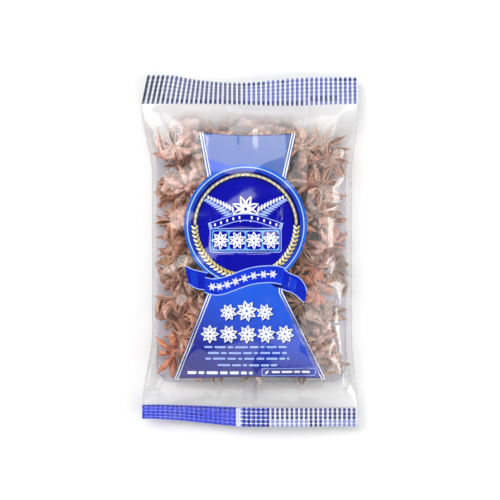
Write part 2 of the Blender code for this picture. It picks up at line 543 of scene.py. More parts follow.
# Half width and top of the place behind the label, for the middle layer and for the second one.
MIDDLE_REACH, MIDDLE_TOP = 27 * MM, 62 * MM
SECOND_REACH, SECOND_TOP = 24 * MM, 60 * MM


def keep_inside(points):
    """Shifts a fruit so that it lies inside the bag's outline."""
    for _ in range(3):
        over = np.maximum(points[:, 0] - edge("right", points[:, 1]) + SIDE_MARGIN, 0).max()
        under = np.maximum(edge("left", points[:, 1]) + SIDE_MARGIN - points[:, 0], 0).max()
        above = np.maximum(points[:, 1] - top_seal(points[:, 0]) + TOP_MARGIN, 0).max()
        below = np.maximum(bottom_seal(points[:, 0]) + BOTTOM_MARGIN - points[:, 1], 0).max()
        points = points + np.array([under - over, below - above, 0])
    return points


def press_up(points, table, poke):
    """Raises a fruit until it meets the film above it."""
    room = on_film(table, points[:, 0], points[:, 1]) - points[:, 2]
    return points + np.array([0, 0, np.quantile(room, 0.004) + poke])


def press_down(points, table):
    """Lowers a fruit until it meets the film below it."""
    room = points[:, 2] - on_film(table, points[:, 0], points[:, 1])
    return points - np.array([0, 0, room.min() - CLEARANCE])


def squeeze(points, poke=DEEP_POKE):
    """Keeps a fruit's points between the back film and the front film."""
    floor = on_film(CAD_BACK, points[:, 0], points[:, 1]) + CLEARANCE
    roof = on_film(CAD_FRONT, points[:, 0], points[:, 1]) + poke
    z = np.clip(points[:, 2], floor, np.maximum(roof, floor + CLEARANCE))
    return np.column_stack([points[:, :2], z])


def front_fruits(rng):
    """The fruits placed by hand, lying against the front film."""
    made = []
    for x, y, turn, lean, way, size, openness, tone in FRONT:
        points, faces, slots = fruit(rng, size, openness, stalk=lean > 90 and rng.random() < 0.5)
        x, y = x * MM, y * MM
        level = tangent_turn(film_normal(CAD_FRONT, x, y))
        points = points @ (level @ lean_matrix(turn, lean, way)).T + np.array([x, y, 0])
        points = press_up(keep_inside(points), CAD_FRONT, FRONT_RISE)
        made.append((squeeze(points, FRONT_POKE), faces, slots, tone))
    return made


def spread_places(rng, step_x, step_y):
    """Loosely staggered places over the body."""
    places = []
    y = SEAL_LOW + ROWS_BELOW
    row = 0
    while y < SEAL_HIGH - ROWS_ABOVE:
        x = ROW_LEFT + (row % 2) * step_x / 2
        while x < ROW_RIGHT:
            places.append((x + rng.uniform(-JITTER, JITTER), y + rng.uniform(-JITTER, JITTER)))
            x += step_x
        y += step_y
        row += 1
    return places


def any_turn(rng, lean):
    return lean_matrix(rng.uniform(0, 45), lean, rng.uniform(0, 360))


def any_tone(rng):
    return int(rng.integers(RED, CORAL))


def middle_fruits(rng):
    """Fruits under the label, pressed against the front film but seen only faintly."""
    made = []
    for x, y in spread_places(rng, 25 * MM, 22 * MM):
        if abs(x - LABEL_MIDDLE) > MIDDLE_REACH or y > MIDDLE_TOP:
            continue
        lean = rng.choice([12, 30, 50, 150, 165])
        points, faces, slots = fruit(rng, rng.uniform(*DEEP_SIZE))
        level = tangent_turn(film_normal(CAD_FRONT, x, y))
        points = points @ (level @ any_turn(rng, lean)).T + np.array([x, y, 0])
        points = press_up(keep_inside(points), CAD_FRONT, -FRONT_RISE)
        made.append((squeeze(points), faces, slots, any_tone(rng)))
    return made


# Places where the lower layers leave room for a front fruit: x, y and reach in mm.
BARE = ((-51, -60, 18), (37, -22, 11))


def is_bare(x, y):
    return any(np.hypot(x / MM - at_x, y / MM - at_y) < reach for at_x, at_y, reach in BARE)


def second_fruits(rng):
    """Fruits that close the gaps between the front ones, a little deeper in the bag."""
    made = []
    for x, y in spread_places(rng, 19 * MM, 19 * MM):
        behind_label = abs(x - LABEL_MIDDLE) < SECOND_REACH and y < SECOND_TOP
        if behind_label or is_bare(x, y):
            continue
        lean = rng.choice([5, 15, 25, 160, 172])
        points, faces, slots = fruit(rng, rng.uniform(*DEEP_SIZE), stalk=rng.random() < 0.25)
        points = points @ any_turn(rng, lean).T + np.array([x, y, 0])
        points = press_up(keep_inside(points), CAD_FRONT, rng.uniform(*SECOND_DEPTH))
        made.append((squeeze(points), faces, slots, any_tone(rng)))
    return made


def back_fruits(rng):
    """The lower layer, lying on the back film."""
    made = []
    for x, y in spread_places(rng, 24.5 * MM, 23 * MM):
        lean = rng.choice([8, 20, 35, 150, 165, 172])
        points, faces, slots = fruit(rng, rng.uniform(*DEEP_SIZE), stalk=rng.random() < 0.2)
        points = points @ any_turn(rng, lean).T + np.array([x, y, 0])
        points = press_down(keep_inside(points), CAD_BACK)
        tone = any_tone(rng)
        if not is_bare(x, y):
            made.append((squeeze(points), faces, slots, tone))
    return made


# Broken-off carpels pressed against the front film: x and y in mm, turn in degrees, length in mm,
# tone.
CARPELS = (
    (-47.5, 52.0, 106, 20, CORAL),
    (-27.0, 52.0, 70, 13, BROWN),
    (30.0, 3.0, 300, 12, RED),
    (54.0, -28.0, 80, 13, BROWN),
    (54.5, 43.0, 100, 12, PINK),
    (-53.0, -25.0, 250, 13, RED),
    (-30.0, -55.0, 40, 12, BROWN),
    (31.0, -38.0, 330, 12, BROWN),
    (52.5, -70.0, 200, 11, BROWN),
    (-12.0, 75.0, 20, 12, PINK),
)


def loose_carpels(rng):
    made = []
    for x, y, turn, length, tone in CARPELS:
        points, faces, slots = carpel(rng, length * MM, rng.uniform(0.6, 1.6) * MM)
        points = points @ lean_matrix(turn, rng.uniform(20, 60), rng.uniform(0, 360)).T
        points = keep_inside(points + np.array([x * MM, y * MM, 0]))
        points = press_up(points, CAD_FRONT, CARPEL_RISE)
        made.append((squeeze(points, FRONT_POKE), faces, slots, tone))
    return made


def strewn(rng, count, make, low, high, lift):
    """Small loose bits lying flat near the back film, anywhere between two corners."""
    made = []
    for _ in range(count):
        points, faces = make()
        turn = lean_matrix(rng.uniform(0, 360), rng.uniform(-20, 20), rng.uniform(0, 360))
        x, y = rng.uniform(low, high) * MM
        points = press_down(points @ turn.T + np.array([x, y, 0]), CAD_BACK)
        made.append((points + np.array([0, 0, rng.uniform(0, lift)]), faces, [0] * len(faces), 0))
    return made


def loose_seeds(rng):
    """Polished seeds that have dropped out of their carpels."""

    def make():
        return ellipsoid(np.array([3.0, 1.3, 2.0]) * MM * rng.uniform(0.85, 1.1))

    return strewn(rng, 16, make, (-52, -70), (52, 74), 3 * MM)


def crumbs(rng):
    """Dark specks gathered near both seals."""

    def make():
        points, faces = ellipsoid(rng.uniform(0.15, 0.5, 3) * MM, 6, 4)
        return points * rng.uniform(0.7, 1.3, (len(points), 1)), faces

    low = strewn(rng, 46, make, (-55, -87), (55, -72), 0)
    return low + strewn(rng, 24, make, (-52, 70), (52, 82), 0)


def stalks(rng):
    """Short bowed stalks with thickened ends."""

    def make():
        steps = np.linspace(-1, 1, 9)
        reach = rng.uniform(6, 11) * MM
        bow = rng.uniform(0.1, 0.35)
        path = np.column_stack([steps * reach, bow * reach * steps**2, 0 * steps])
        return tube(path, (0.75 + 0.2 * np.cos(2 * steps)) * MM, 8)

    return strewn(rng, 7, make, (-44, -66), (44, 70), 6 * MM)


# ---------------------------------------------------------------- materials


def linear(red, green, blue):
    """A colour given as 0 to 255 sRGB, turned to linear."""
    values = np.array([red, green, blue]) / 255
    low = values / 12.92
    high = ((values + 0.055) / 1.055) ** 2.4
    return (*np.where(values <= 0.04045, low, high), 1.0)


class Finish:
    """A node material round one Principled shader, with the few nodes that it needs."""

    def __init__(self, name):
        self.material = bpy.data.materials.new(name)
        self.material.use_nodes = True
        self.nodes = self.material.node_tree.nodes
        self.shader = self.nodes["Principled BSDF"]

    def node(self, kind, settings=(), links=()):
        """Adds a node, given the values and the outputs that its inputs take."""
        made = self.nodes.new("ShaderNode" + kind)
        for name, value in dict(settings).items():
            made.inputs[name].default_value = value
        for name, output in dict(links).items():
            self.link(output, made.inputs[name])
        return made

    def link(self, output, place):
        self.material.node_tree.links.new(output, place)

    def feed(self, **outputs):
        """Links outputs to the shader's inputs, named with _ for each space."""
        for name, output in outputs.items():
            self.link(output, self.shader.inputs[name.replace("_", " ")])

    def place(self):
        return self.nodes.new("ShaderNodeTexCoord").outputs["Object"]

    def axis(self, name):
        split = self.node("SeparateXYZ", links={"Vector": self.place()})
        return split.outputs[name]

    def noise(self, scale, detail=4.0, roughness=0.6):
        settings = {"Scale": scale, "Detail": detail, "Roughness": roughness}
        return self.node("TexNoise", settings, {"Vector": self.place()}).outputs["Fac"]

    def ramp(self, factor, stops):
        node = self.node("ValToRGB", links={"Fac": factor})
        elements = node.color_ramp.elements
        while len(elements) < len(stops):
            elements.new(0.5)
        for element, (place, color) in zip(elements, stops):
            element.position = place
            element.color = color
        return node.outputs["Color"]

    def spread(self, factor, low, high, start=0.0, end=1.0, soft=False):
        """Maps start to low and end to high."""
        settings = {"From Min": start, "From Max": end, "To Min": low, "To Max": high}
        node = self.node("MapRange", settings, {"Value": factor})
        if soft:
            node.interpolation_type = "SMOOTHSTEP"
        return node.outputs["Result"]

    def math(self, operation, one, other=0.0):
        """One Math node; the second input is an output or a plain number."""
        node = self.node("Math", links={0: one})
        node.operation = operation
        if isinstance(other, float):
            node.inputs[1].default_value = other
        else:
            self.link(other, node.inputs[1])
        return node.outputs["Value"]

    def bump(self, factor, strength, distance):
        node = self.node("Bump", {"Strength": strength, "Distance": distance}, {"Height": factor})
        self.feed(Normal=node.outputs["Normal"])

    def mix(self, share, under, over):
        """Mixes two shaders by a share, and makes the mix the material's surface."""
        node = self.node("MixShader", links={1: under, 2: over})
        if isinstance(share, float):
            node.inputs["Fac"].default_value = share
        else:
            self.link(share, node.inputs["Fac"])
        self.link(node.outputs["Shader"], self.nodes["Material Output"].inputs["Surface"])
        return node.outputs["Shader"]

    def clear(self, tint=(1, 1, 1, 1)):
        return self.node("BsdfTransparent", {"Color": tint}).outputs["BSDF"]


def husk_material(name, dark, middle, light):
    """Dry wrinkled husk: blotched brown, with a fine grain in its roughness and bumps."""
    finish = Finish(name)
    tones = [(0.34, linear(*dark)), (0.5, linear(*middle)), (0.66, linear(*light))]
    grain = finish.noise(1500, 4.0, 0.7)
    finish.feed(
        Base_Color=finish.ramp(finish.noise(420, 5.0, 0.65), tones),
        Roughness=finish.spread(grain, 0.5, 0.8),
    )
    finish.bump(grain, 0.5, 0.25 * MM)
    finish.shader.inputs["Specular IOR Level"].default_value = 0.35
    return finish.material


def lining_material(name, deep, pale):
    """The smooth tan inside of a carpel."""
    finish = Finish(name)
    cloud = finish.noise(300, 3.0, 0.5)
    finish.feed(
        Base_Color=finish.ramp(cloud, [(0.35, linear(*deep)), (0.62, linear(*pale))]),
        Roughness=finish.spread(cloud, 0.32, 0.5),
    )
    finish.bump(finish.noise(900), 0.25, 0.15 * MM)
    return finish.material


def seed_material():
    finish = Finish("polished_seed")
    cloud = finish.noise(260, 2.0, 0.4)
    finish.feed(
        Base_Color=finish.ramp(cloud, [(0.35, linear(84, 44, 24)), (0.7, linear(150, 88, 48))]),
        Roughness=finish.spread(cloud, 0.14, 0.26),
    )
    return finish.material


COAT_IOR = 1.8
GLOSS_ROUGHNESS = 0.09


def ink_material(name, tone=None, other=None, opacity=1.0, glossy=False, rough=0.45, color_of=None):
    """Printed ink with a faint mottle. Glossy ink has a clear layer like the film beside it."""
    finish = Finish(name)
    cloud = finish.noise(90, 3.0, 0.5)
    if color_of:
        color = color_of(finish)
    else:
        first = linear(*tone)
        second = linear(*other) if other else (*(c * 0.94 + 0.03 for c in first[:3]), 1.0)
        color = finish.ramp(cloud, [(0.3, first), (0.75, second)])
    finish.feed(Base_Color=color, Roughness=finish.spread(cloud, rough, rough + 0.12))
    finish.shader.inputs["Specular IOR Level"].default_value = 0.0
    if glossy:
        finish.shader.inputs["Coat Weight"].default_value = 1.0
        finish.shader.inputs["Coat IOR"].default_value = COAT_IOR
        finish.shader.inputs["Coat Roughness"].default_value = GLOSS_ROUGHNESS
    if opacity < 1:
        finish.mix(opacity, finish.clear(), finish.shader.outputs["BSDF"])
    return finish.material


FILM_GLOSS = 0.085
EDGE_GLOSS = 0.85
FILM_TONE = (0.96, 0.96, 0.965, 1)
FILM_TINT = (0.985, 0.986, 0.99, 1)
# White haze over the body, and what is added to it at both ends: there partly haze and partly painted
# sheen, which lightens the ends where shade falls.
FRONT_HAZE_AND_SHEEN = (0.02, 0.62)
BACK_HAZE_AND_SHEEN = (0.3, 0.7)
SEAL_HAZE = (0.003, 0)
# Painted sheen: a white haze that thickens towards the right, standing in for the reflected light
# there.
SIDE_PAINTED_SHEEN = 0.13
SIDE_SHEEN_START = 26 * MM
SIDE_SHEEN_END = 52 * MM
END_SHEEN_MIDDLE = -4 * MM
END_SHEEN_START = 66 * MM
END_SHEEN_END = 88 * MM


def film_material(name, milk, end_haze_and_sheen, side_sheen_share=0.0):
    """Clear film: mostly see-through, with a white haze and a mirror gloss that grows edge on.

    The haze is thicker at both ends, partly film haze and partly painted sheen that lightens the
    shaded ends. Towards the right it may thicken too, as painted sheen standing in for reflection.
    """
    finish = Finish(name)
    finish.shader.inputs["Base Color"].default_value = FILM_TONE
    finish.shader.inputs["Roughness"].default_value = 0.5
    # Partly painted sheen: white haze added towards both ends, lightening the ends where shade falls.
    away = finish.math("ABSOLUTE", finish.math("ADD", finish.axis("Y"), -END_SHEEN_MIDDLE))
    ends = finish.spread(away, 0, end_haze_and_sheen, END_SHEEN_START, END_SHEEN_END, soft=True)
    haze = finish.spread(finish.noise(60, 3.0, 0.55), milk * 0.5, milk * 1.5)
    haze = finish.math("ADD", haze, ends)
    # Painted sheen towards the right.
    if side_sheen_share:
        side = finish.spread(finish.axis("X"), 0, side_sheen_share, SIDE_SHEEN_START, SIDE_SHEEN_END, soft=True)
        haze = finish.math("ADD", haze, side)
    body = finish.mix(haze, finish.clear(FILM_TINT), finish.shader.outputs["BSDF"])
    facing = finish.node("LayerWeight", {"Blend": 0.5}).outputs["Facing"]
    share = finish.spread(finish.math("POWER", facing, 4.0), FILM_GLOSS, EDGE_GLOSS)
    gloss = finish.node("BsdfGlossy", {"Roughness": GLOSS_ROUGHNESS}).outputs["BSDF"]
    finish.mix(share, body, gloss)
    return finish.material


# ---------------------------------------------------------------- draping the film


def average(table):
    out = table.copy()
    out[1:-1, 1:-1] = (table[:-2, 1:-1] + table[2:, 1:-1] + table[1:-1, :-2] + table[1:-1, 2:]) / 4
    return out


# How far the film over a fruit's highest point drops to the next cell.
CELL_DROP = 0.15 * MM


def obstacle(fruits, sign):
    """Highest (sign 1) or lowest (sign -1) fruit point over each cell of the film's grid."""
    table = np.full(FILM_X.shape, -1.0)
    for points, *_ in fruits:
        column, row = grid_place(points[:, 0], points[:, 1])
        cells = (np.rint(row).astype(int), np.rint(column).astype(int))
        np.maximum.at(table, cells, sign * points[:, 2])
    wide = table.copy()
    for down in (-1, 0, 1):
        for aside in (-1, 0, 1):
            moved = np.roll(table, (down, aside), (0, 1))
            wide = np.maximum(wide, moved - CELL_DROP * (abs(down) + abs(aside)))
    return sign * wide


# Folds: x and y of both ends, half width at both ends, all in mm, and the slope of their sides.
CREASES = (
    (44.0, -6, 36.0, -16, 0.6, 1.2, 0.5),
    (47.0, -2, 39.0, -11, 0.8, 1.0, 0.5),
    (-29, 62, -24, 40, 1.6, 0.8, 0.3),
    (-54, 80, -40, 52, 3.0, 0.8, 0.3),
    (10, 84, 16, 56, 3.0, 0.8, 0.25),
    (-10, 84, -13, 60, 2.6, 0.8, 0.3),
    (34, 84, 30, 66, 2.6, 0.8, 0.3),
    (30, -84, 24, -60, 2.6, 0.8, 0.3),
    (-20, -86, -16, -62, 2.6, 0.8, 0.3),
    (6, -86, 2, -66, 2.4, 0.8, 0.3),
    (24, -48, 46, -60, 0.6, 1.6, 0.4),
    (-52, -84, -44, -58, 2.4, 0.8, 0.3),
    (30, 20, 54, 27, 0.6, 1.4, 0.4),
)


def creases(x, y):
    """Height that the folds add to the front film."""
    total = np.zeros_like(x)
    for x0, y0, x1, y1, narrow, wide, slope in CREASES:
        ax, ay, bx, by = x0 * MM, y0 * MM, x1 * MM, y1 * MM
        span = (bx - ax) ** 2 + (by - ay) ** 2
        t = np.clip(((x - ax) * (bx - ax) + (y - ay) * (by - ay)) / span, 0, 1)
        away = np.hypot(x - ax - t * (bx - ax), y - ay - t * (by - ay))
        width = (narrow + (wide - narrow) * t) * MM
        total = np.maximum(total, slope * np.maximum(width - away, 0))
    return total


FACET_SLOPE = 0.577
FACET_LIFT = 1.4 * MM
# Flat strips of pulled film that catch the light: x and y of both ends of their left edge, and
# their width at both ends, in mm.
FACETS = (
    (49.2, -25, 47.6, -42, 0.6, 5.0),
    (47.6, -42, 52.8, -66, 5.0, 1.6),
    (52.8, -66, 53.6, -80, 1.6, 3.2),
    (37.6, 50, 38.2, 26, 0.9, 1.5),
    (38.4, 20, 39.2, 6, 0.9, 1.6),
    (41.0, -4, 44.5, -17, 0.8, 2.2),
)


def facets(x, y, z):
    """Tilts the film's flat strips to one slope, falling away to the right."""
    for x0, y0, x1, y1, narrow, wide in FACETS:
        t = (y / MM - y0) / (y1 - y0)
        left = (x0 + (x1 - x0) * t) * MM
        width = (narrow + (wide - narrow) * t) * MM
        inside = (t > 0) & (t < 1) & (x > left) & (x < left + width)
        ends = on_film(z, np.array([x0, x1]) * MM, np.array([y0, y1]) * MM)
        start = ends[0] + (ends[1] - ends[0]) * t + FACET_LIFT
        z = np.where(inside, np.maximum(start - FACET_SLOPE * (x - left), z), z)
    return z


FRONT_STEPS = 450
BACK_STEPS = 200
EASING_STEPS = 3
# How much of the pillow's own curve each film keeps, and how far it stays from the fruits.
FRONT_CURVE = 0.8
BACK_CURVE = 0.9
FRONT_SPACE = 0.4 * MM
BACK_SPACE = 0.35 * MM
FLOOR_SPACE = 0.02 * MM


def held_points():
    """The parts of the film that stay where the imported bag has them."""
    held = IN_FIN.copy()
    held[:, [0, -1]] = True
    return held


def drape_front(fruits):
    """The front film: the bag's own pillow shape, pulled taut over the fruits under it."""
    rest, held = CAD_FRONT, held_points()
    lift = (rest - average(rest)) * FRONT_CURVE
    stop = obstacle(fruits, 1) + FRONT_SPACE
    z = rest
    for _ in range(FRONT_STEPS):
        z = np.where(held, rest, np.maximum(average(z) + lift, stop))
    for _ in range(EASING_STEPS):
        z = np.where(held, z, average(z))
    z = np.where(held, z, z + creases(FILM_X, FILM_Y))
    z = facets(FILM_X, FILM_Y, z)
    return np.where(IN_FIN, CAD_MIDDLE + FIN_GAP / 2, z)


def drape_back(fruits):
    """The back film, sagging under the fruits on it but never through the floor."""
    rest, held = CAD_BACK, held_points()
    lift = (rest - average(rest)) * BACK_CURVE
    stop = obstacle(fruits, -1) - BACK_SPACE
    z = rest
    for _ in range(BACK_STEPS):
        z = np.where(held, rest, np.minimum(np.maximum(average(z) + lift, 0.0), stop))
    return np.where(IN_FIN, CAD_MIDDLE - FIN_GAP / 2, np.maximum(z, FLOOR_SPACE))


def quads(number, order):
    """Four-sided faces between the numbered points of a grid."""
    corners = (number[:-1, :-1], number[:-1, 1:], number[1:, 1:], number[1:, :-1])
    return np.stack([corners[k] for k in order], -1).reshape(-1, 4)


# Places of the materials that film_piece takes.
FRONT_SHEET, BACK_SHEET, FIN_SHEET = range(3)


def film_piece(front, back, materials):
    """One closed bag: the front and back sheets meet along the outline."""
    top = np.stack([FILM_X, FILM_Y, front], -1)
    low = np.stack([FILM_X, FILM_Y, back], -1)
    inner = np.zeros(front.shape, bool)
    inner[1:-1, 1:-1] = True
    top[~inner] = (top[~inner] + low[~inner]) / 2
    number = np.arange(front.size).reshape(front.shape)
    under = number.copy()
    under[inner] = front.size + np.arange(inner.sum())
    faces = np.concatenate([quads(number, (0, 1, 2, 3)), quads(under, (0, 3, 2, 1))])
    fins = IN_FIN[:-1, :-1].ravel()
    slots = [np.where(fins, FIN_SHEET, sheet) for sheet in (FRONT_SHEET, BACK_SHEET)]
    build = Build()
    build.add(np.concatenate([top.reshape(-1, 3), low[inner]]), faces, np.concatenate(slots))
    return build.finish("film_bag", materials)


# ---------------------------------------------------------------- printed artwork

PRINT_DEPTH = 0.14 * MM
DRAPE_STEP = 1.1


class Artwork:
    """Flat shapes in mm seen from above, each laid over the ones before it, cut from one sheet."""

    def __init__(self):
        self.inks, self.outlines = [], []

    def add(self, ink, outline):
        """Every outline is kept anticlockwise, as the triangulation needs it."""
        outline = np.asarray(outline, float)
        after = np.roll(outline, -1, axis=0)
        area = (outline[:, 0] * after[:, 1] - after[:, 0] * outline[:, 1]).sum()
        self.inks.append(ink)
        self.outlines.append(outline if area > 0 else outline[::-1])

    def sheet(self, name, inks, table, offset):
        """One mesh without overlaps: each triangle takes the ink of the uppermost shape over it."""
        points, faces = [], []
        for outline in self.outlines:
            faces.append(list(range(len(points), len(points) + len(outline))))
            points += outline.tolist()
        every = np.concatenate(self.outlines)
        low, high = every.min(0), every.max(0)
        xs = np.arange(low[0] + DRAPE_STEP / 2, high[0], DRAPE_STEP)
        ys = np.arange(low[1] + DRAPE_STEP / 2, high[1], DRAPE_STEP)
        spread = np.stack(np.meshgrid(xs, ys), -1)
        spread[1::2, :, 0] += DRAPE_STEP / 2
        points += spread.reshape(-1, 2).tolist()
        found = delaunay_2d_cdt([Vector(p) for p in points], [], faces, 0, 0.01)
        flat = np.array([tuple(p) for p in found[0]]) * MM
        kept, slots = [], []
        for face, owners in zip(found[2], found[5]):
            if owners:
                kept.append(list(face))
                slots.append(list(inks).index(self.inks[max(owners)]))
        used = np.unique(np.concatenate(kept))
        number = np.full(len(flat), -1)
        number[used] = np.arange(len(used))
        z = on_film(table, flat[used, 0], flat[used, 1]) + offset
        build = Build()
        build.add(np.column_stack([flat[used], z]), [[number[i] for i in f] for f in kept], slots)
        return build.finish(name, list(inks.values()))


def circle(x, y, radius, count):
    turn = np.arange(count) * 2 * pi / count
    return np.column_stack([x + radius * np.cos(turn), y + radius * np.sin(turn)])


def turned(points, angle, x, y):
    c, s = cos(angle), sin(angle)
    return np.asarray(points) @ np.array([[c, s], [-s, c]]) + [x, y]


def leaf(length, width, count=6):
    """A pointed leaf from the origin along +x."""
    t = np.linspace(0, 1, count + 1)
    half = width / 2 * np.sin(pi * t**0.85)
    top = np.column_stack([t * length, half])
    return np.concatenate([top, np.column_stack([t * length, -half])[-2:0:-1]])


def rounded_box(x, y, width, height, radius, count=5):
    corners = []
    for k, (sx, sy) in enumerate(((1, 1), (-1, 1), (-1, -1), (1, -1))):
        turn = (k + np.linspace(0, 1, count)) * pi / 2
        corners.append(np.column_stack([
            x + sx * (width / 2 - radius) + radius * np.cos(turn),
            y + sy * (height / 2 - radius) + radius * np.sin(turn),
        ]))
    return np.concatenate(corners)


def curve_through(points, per_span):
    """A smooth line through a few points."""
    p = np.asarray(points, float)
    p = np.concatenate([[2 * p[0] - p[1]], p, [2 * p[-1] - p[-2]]])
    t = np.linspace(0, 1, per_span, endpoint=False)[:, None]
    spans = []
    for a, b, c, d in zip(p, p[1:], p[2:], p[3:]):
        square, cube = 2 * a - 5 * b + 4 * c - d, 3 * b - a - 3 * c + d
        spans.append(0.5 * (2 * b + (c - a) * t + square * t**2 + cube * t**3))
    return np.concatenate([*spans, [p[-2]]])


def band(line, low, high):
    """A strip beside a line, between two distances to its left."""
    line = np.asarray(line, float)
    step = np.gradient(line, axis=0)
    step /= np.linalg.norm(step, axis=1)[:, None]
    side = np.column_stack([-step[:, 1], step[:, 0]])
    return np.concatenate([line + side * low, (line + side * high)[::-1]])


def rosette(art, ink, core, x, y, radius, petals, turn, fat):
    """A plain star anise: pointed petals round a centre, each with a slit."""
    for k in range(petals):
        angle = turn + 2 * pi * k / petals
        art.add(ink, turned(leaf(radius, radius * fat), angle, x, y))
    for k in range(petals):
        angle = turn + 2 * pi * k / petals
        slit = leaf(radius * 0.5, radius * 0.12, 4) + [radius * 0.33, 0]
        art.add(core, turned(slit, angle, x, y))
    art.add(core, circle(x, y, radius * 0.11, 14))


def bold_rosette(art, x, y, radius, turn):
    """A white star anise with a dark shadow to its lower right."""
    for k in range(8):
        art.add("navy", turned(leaf(radius, radius * 0.5), turn + pi * k / 4, x + 0.55, y - 0.55))
    rosette(art, "white", "field", x, y, radius, 8, turn, 0.5)


def dashes(art, ink, x0, x1, y, height, lengths, gap):
    """A row of short bars between x0 and x1, their lengths taken in turn."""
    x, k = x0, 0
    while x < x1:
        length = min(lengths[k % len(lengths)], x1 - x)
        if length > height:
            art.add(ink, rounded_box(x + length / 2, y, length, height, height * 0.35, 3))
        x += length + gap
        k += 1


LABEL_LEFT = ((-29.6, 68.0), (-24.6, 41.8), (-21.5, 5.0), (-24.5, -24.4), (-44.0, -73.5))
LABEL_RIGHT = ((26.6, 67.2), (20.9, 41.8), (16.5, 5.0), (19.0, -23.3), (43.8, -73.2))
LABEL_TOP = ((-29.6, 68.0), (-16, 66.9), (-1.5, 66.4), (12, 66.6), (26.6, 67.2))
LABEL_BOTTOM = ((43.8, -73.2), (22, -72.7), (0, -72.1), (-22, -72.8), (-44.0, -73.5))
MEDAL_X, MEDAL_Y = -2.5, 14.4
RIM, RING_OUT, RING_IN, BAND_IN, DISC = 35.1, 33.6, 33.0, 31.2, 26.8


def label_field(art):
    """The hourglass field with its dark edge and two white lines down each side."""
    top, bottom = curve_through(LABEL_TOP, 5), curve_through(LABEL_BOTTOM, 6)
    right, left = np.array(LABEL_RIGHT)[1:-1], np.array(LABEL_LEFT)[-2:0:-1]
    outline = np.concatenate([top, right, bottom, left])
    art.add("navy", outline)
    inner_top = top * [0.985, 1] - [0, 0.45]
    inner_bottom = bottom * [0.985, 1] + [0, 0.5]
    left = np.array(LABEL_LEFT)[1:-1] + [0.5, 0]
    right = np.array(LABEL_RIGHT)[1:-1] - [0.5, 0]
    art.add("field", np.concatenate([inner_top, right, inner_bottom, left[::-1]]))
    for side, line in ((1, LABEL_LEFT), (-1, LABEL_RIGHT)):
        for near, far in ((0.45, 1.2), (1.95, 2.6)):
            art.add("white", band(line, side * near, side * far))


LEAVES = 17
STRANDS = 42


def medallion(art):
    """Rings round a disc, with leaves along their lower half and a rope along the upper."""
    for ink, radius in (("rim", RIM), ("ring", RING_OUT), ("rim_inner", RING_IN), ("navy", BAND_IN)):
        art.add(ink, circle(MEDAL_X, MEDAL_Y, radius, 128))
    middle = (BAND_IN + DISC) / 2
    for side in (-1, 1):
        for k in range(LEAVES):
            angle = -pi / 2 + side * (0.12 + (pi / 2 - 0.2) * k / (LEAVES - 1))
            long = 3.7 * (1.0 - 0.12 * k / (LEAVES - 1))
            x, y = MEDAL_X + middle * cos(angle), MEDAL_Y + middle * sin(angle)
            for spread in (-1, 1):
                way = angle + side * pi / 2 + spread * 0.62
                art.add("gold" if spread < 0 else "cream", turned(leaf(long, 1.5, 4), way, x, y))
        for k in range(STRANDS):
            rise = 0.03 + (pi / 2 - 0.05) * k / (STRANDS - 1)
            angle = rise if side > 0 else pi - rise
            x, y = MEDAL_X + middle * cos(angle), MEDAL_Y + middle * sin(angle)
            strand = leaf(2.3, 0.8, 3) - [1.15, 0]
            art.add("gold" if k % 3 == 0 else "cream", turned(strand, angle + side * 0.7, x, y))
    art.add("disc", circle(MEDAL_X, MEDAL_Y, DISC, 112))


def emblem(art):
    """A generic star anise between leafy sprigs, a small scroll and a framed row of stars."""
    rosette(art, "white", "disc", MEDAL_X, MEDAL_Y + 9.4, 8.2, 8, pi / 8, 0.42)
    for side in (-1, 1):
        for k in range(9):
            x = MEDAL_X + side * (7.0 + 1.75 * k)
            y = MEDAL_Y + 7.2 + 1.15 * k - 0.02 * k * k
            long = 6.2 - 0.38 * k
            for low, ink in ((-1, "pale"), (1, "white")):
                way = (0.55 if side > 0 else pi - 0.55) + side * low * 0.85
                art.add(ink, turned(leaf(long if low < 0 else long * 0.7, 1.5, 4), way, x, y))
    t = np.linspace(-1, 1, 25)
    rise = 3.4 - 2.6 * t * t + 1.4 * np.cos(3 * t)
    scroll = np.column_stack([MEDAL_X + t * 21, MEDAL_Y + rise])
    art.add("pale", band(scroll, -2.1, 2.1))
    art.add("disc", band(scroll[1:-1], -1.6, 1.6))
    for k in range(2, 23, 2):
        if k != 12:
            art.add("white", turned(rounded_box(0, 0, 1.0, 1.7, 0.3, 3), 0.0, *scroll[k]))
    plate_y = MEDAL_Y - 8.4
    art.add("pale", rounded_box(MEDAL_X, plate_y, 41.0, 14.0, 1.8))
    art.add("disc", rounded_box(MEDAL_X, plate_y, 40.0, 13.0, 1.4))
    art.add("plate", rounded_box(MEDAL_X, plate_y, 38.6, 11.6, 1.0))
    for k in range(4):
        x = MEDAL_X + (k - 1.5) * 9.6
        art.add("disc", rounded_box(x, plate_y, 8.8, 10.4, 2.0))
        rosette(art, "white", "ribbon_light", x, plate_y, 5.3, 8, k * 0.4, 0.46)


RIBBON_TOP = (
    (-25.6, -15.2), (-21.2, -16.1), (-16.3, -15.5), (-11.4, -14.1), (-5.6, -11.7), (0.8, -9.7),
    (8.1, -8.7), (15.4, -8.7), (19.8, -9.9),
)
RIBBON_BOTTOM = (
    (-26.0, -23.4), (-20.2, -25.0), (-15.3, -24.6), (-9.5, -22.6), (-3.6, -20.4), (2.3, -18.7),
    (8.1, -18.0), (13.0, -18.0), (17.9, -19.0),
)
TAIL_LEFT_TOP = ((-37.1, -8.7), (-31.9, -10.9), (-24.1, -12.6))
TAIL_LEFT_BOTTOM = ((-35.3, -18.6), (-31.0, -21.2), (-26.0, -22.2))
TAIL_RIGHT_TOP = ((18.4, -9.7), (22.7, -12.9), (27.6, -15.1), (31.0, -19.0), (32.5, -23.4))
TAIL_RIGHT_BOTTOM = ((15.0, -19.8), (19.8, -22.4), (24.2, -23.8), (29.1, -27.8), (31.0, -29.7))


